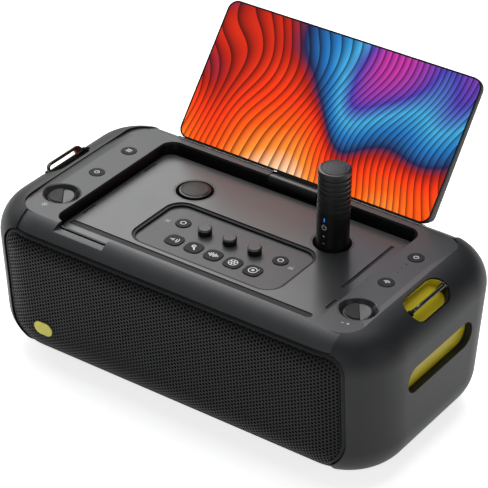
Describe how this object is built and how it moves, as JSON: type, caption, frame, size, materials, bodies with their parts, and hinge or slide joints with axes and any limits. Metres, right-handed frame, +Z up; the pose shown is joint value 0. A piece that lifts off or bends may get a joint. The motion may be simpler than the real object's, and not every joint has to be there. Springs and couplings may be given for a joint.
{
  "type": "portable karaoke speaker",
  "caption": "Box-shaped portable karaoke speaker with a flip-up screen, recessed control deck, grille front, carry rings and wireless microphones parked in the deck.",
  "frame": {"origin": "on the table under the middle of the whole object, open screen included", "axes": "+X along the width to the right as seen from the grille, -Y towards the front grille, +Z up"},
  "size_m": [0.45, 0.3198, 0.2787],
  "materials": {
    "shell": "satin",
    "cap": "rubberised matt",
    "black": "satin",
    "key": "satin",
    "yellow": "satin",
    "badge": "satin",
    "grille": "perforated, matt",
    "rubber": "matt",
    "steel": "brushed",
    "ring": "nickel plated",
    "glass": "gloss display",
    "lamp": "gloss",
    "board": "solder mask",
    "cell": "shrink wrap",
    "contact": "plated",
    "cone": "matt",
    "head": "matt, ribbed"
  },
  "bodies": {
    "cabinet": {"deck_frame": "shell", "end_cap_left": "cap", "end_cap_right": "cap", "rear_cover": "shell", "bottom_pan": "cap", "rubber_feet": "rubber", "grille": "grille", "badge": "badge", "baffle": "black", "woofer_left": "cone", "woofer_right": "cone", "recess_tray": "black", "recess_floor": "shell", "control_panel": "shell", "bore_collars": "black", "mic_wells": "black", "well_contacts": "contact", "hinge_bracket": "black", "hinge_pin": "steel", "knob_dishes": "black", "strip_lamps": "lamp", "panel_lamps": "lamp", "slot_liner_left": "yellow", "slot_liner_right": "yellow", "ring_lugs": "black", "grip_plate_left": "yellow", "grip_plate_right": "yellow", "main_board": "board", "battery_pack": "cell"},
    "screen": {"screen_back": "cap", "screen_bezel": "key", "display_glass": "glass", "display_module": "black", "hinge_barrel": "key"},
    "mic_left": {"mic_left_body": "key", "mic_left_head": "head", "mic_left_button": "key"},
    "mic_right": {"mic_right_body": "key", "mic_right_head": "head", "mic_right_button": "key"},
    "volume_knob_left": {"volume_knob_left": "key"},
    "volume_knob_right": {"volume_knob_right": "key"},
    "strip_button_front_left": {"strip_button_front_left": "key"},
    "strip_button_rear_left": {"strip_button_rear_left": "key"},
    "strip_button_front_right": {"strip_button_front_right": "key"},
    "strip_button_rear_right": {"strip_button_rear_right": "key"},
    "tone_knob_left": {"tone_knob_left": "key"},
    "tone_knob_middle": {"tone_knob_middle": "key"},
    "tone_knob_right": {"tone_knob_right": "key"},
    "ring_button_left": {"ring_button_left": "key"},
    "ring_button_right": {"ring_button_right": "key"},
    "pad_1": {"pad_1": "key"},
    "pad_2": {"pad_2": "key"},
    "pad_3": {"pad_3": "key"},
    "pad_4": {"pad_4": "key"},
    "pad_5": {"pad_5": "key"},
    "carry_ring_left": {"carry_ring_left": "ring"},
    "carry_ring_right": {"carry_ring_right": "ring"}
  },
  "joints": [
    {"name": "screen_hinge", "type": "hinge", "parent": "cabinet", "child": "screen", "pos_m": [0, 0.05594, 0.1565], "axis": [-1, 0, 0], "range_deg": [-129, 0]},
    {"name": "mic_right_lift", "type": "slide", "parent": "cabinet", "child": "mic_right", "axis": [0, 0, 1], "range_m": [-0.0795, 0]},
    {"name": "mic_left_lift", "type": "slide", "parent": "cabinet", "child": "mic_left", "axis": [0, 0, 1], "range_m": [0, 0.16]},
    {"name": "volume_turn_left", "type": "hinge", "parent": "cabinet", "child": "volume_knob_left", "pos_m": [-0.1692, -0.09345, 0.155], "axis": [0, 0, -1], "range_deg": [-140, 140]},
    {"name": "volume_turn_right", "type": "hinge", "parent": "cabinet", "child": "volume_knob_right", "pos_m": [0.1692, -0.09345, 0.155], "axis": [0, 0, -1], "range_deg": [-140, 140]},
    {"name": "tone_turn_left", "type": "hinge", "parent": "cabinet", "child": "tone_knob_left", "pos_m": [-0.0286, -0.05325, 0.151], "axis": [0, 0, -1], "range_deg": [-140, 140]},
    {"name": "tone_turn_middle", "type": "hinge", "parent": "cabinet", "child": "tone_knob_middle", "pos_m": [0, -0.05325, 0.151], "axis": [0, 0, -1], "range_deg": [-140, 140]},
    {"name": "tone_turn_right", "type": "hinge", "parent": "cabinet", "child": "tone_knob_right", "pos_m": [0.0286, -0.05325, 0.151], "axis": [0, 0, -1], "range_deg": [-140, 140]},
    {"name": "strip_button_front_left_press", "type": "slide", "parent": "cabinet", "child": "strip_button_front_left", "axis": [0, 0, 1], "range_m": [-0.0008, 0], "stiffness_N_per_m": 200},
    {"name": "strip_button_rear_left_press", "type": "slide", "parent": "cabinet", "child": "strip_button_rear_left", "axis": [0, 0, 1], "range_m": [-0.0008, 0], "stiffness_N_per_m": 200},
    {"name": "strip_button_front_right_press", "type": "slide", "parent": "cabinet", "child": "strip_button_front_right", "axis": [0, 0, 1], "range_m": [-0.0008, 0], "stiffness_N_per_m": 200},
    {"name": "strip_button_rear_right_press", "type": "slide", "parent": "cabinet", "child": "strip_button_rear_right", "axis": [0, 0, 1], "range_m": [-0.0008, 0], "stiffness_N_per_m": 200},
    {"name": "ring_button_left_press", "type": "slide", "parent": "cabinet", "child": "ring_button_left", "axis": [0, 0, 1], "range_m": [-0.0008, 0], "stiffness_N_per_m": 200},
    {"name": "ring_button_right_press", "type": "slide", "parent": "cabinet", "child": "ring_button_right", "axis": [0, 0, 1], "range_m": [-0.0008, 0], "stiffness_N_per_m": 200},
    {"name": "pad_1_press", "type": "slide", "parent": "cabinet", "child": "pad_1", "axis": [0, 0, 1], "range_m": [-0.0008, 0], "stiffness_N_per_m": 200},
    {"name": "pad_2_press", "type": "slide", "parent": "cabinet", "child": "pad_2", "axis": [0, 0, 1], "range_m": [-0.0008, 0], "stiffness_N_per_m": 200},
    {"name": "pad_3_press", "type": "slide", "parent": "cabinet", "child": "pad_3", "axis": [0, 0, 1], "range_m": [-0.0008, 0], "stiffness_N_per_m": 200},
    {"name": "pad_4_press", "type": "slide", "parent": "cabinet", "child": "pad_4", "axis": [0, 0, 1], "range_m": [-0.0008, 0], "stiffness_N_per_m": 200},
    {"name": "pad_5_press", "type": "slide", "parent": "cabinet", "child": "pad_5", "axis": [0, 0, 1], "range_m": [-0.0008, 0], "stiffness_N_per_m": 200},
    {"name": "carry_ring_swing_left", "type": "hinge", "parent": "cabinet", "child": "carry_ring_left", "pos_m": [-0.20796, -0.03845, 0.15843], "axis": [0, 1, 0], "range_deg": [-100, 60]},
    {"name": "carry_ring_swing_right", "type": "hinge", "parent": "cabinet", "child": "carry_ring_right", "pos_m": [0.20796, -0.03845, 0.15843], "axis": [0, -1, 0], "range_deg": [-100, 60]}
  ],
  "couplings": [
    {"joint": "mic_right_lift", "follows": "screen_hinge", "m_per_rad": 0.0353}
  ]
}
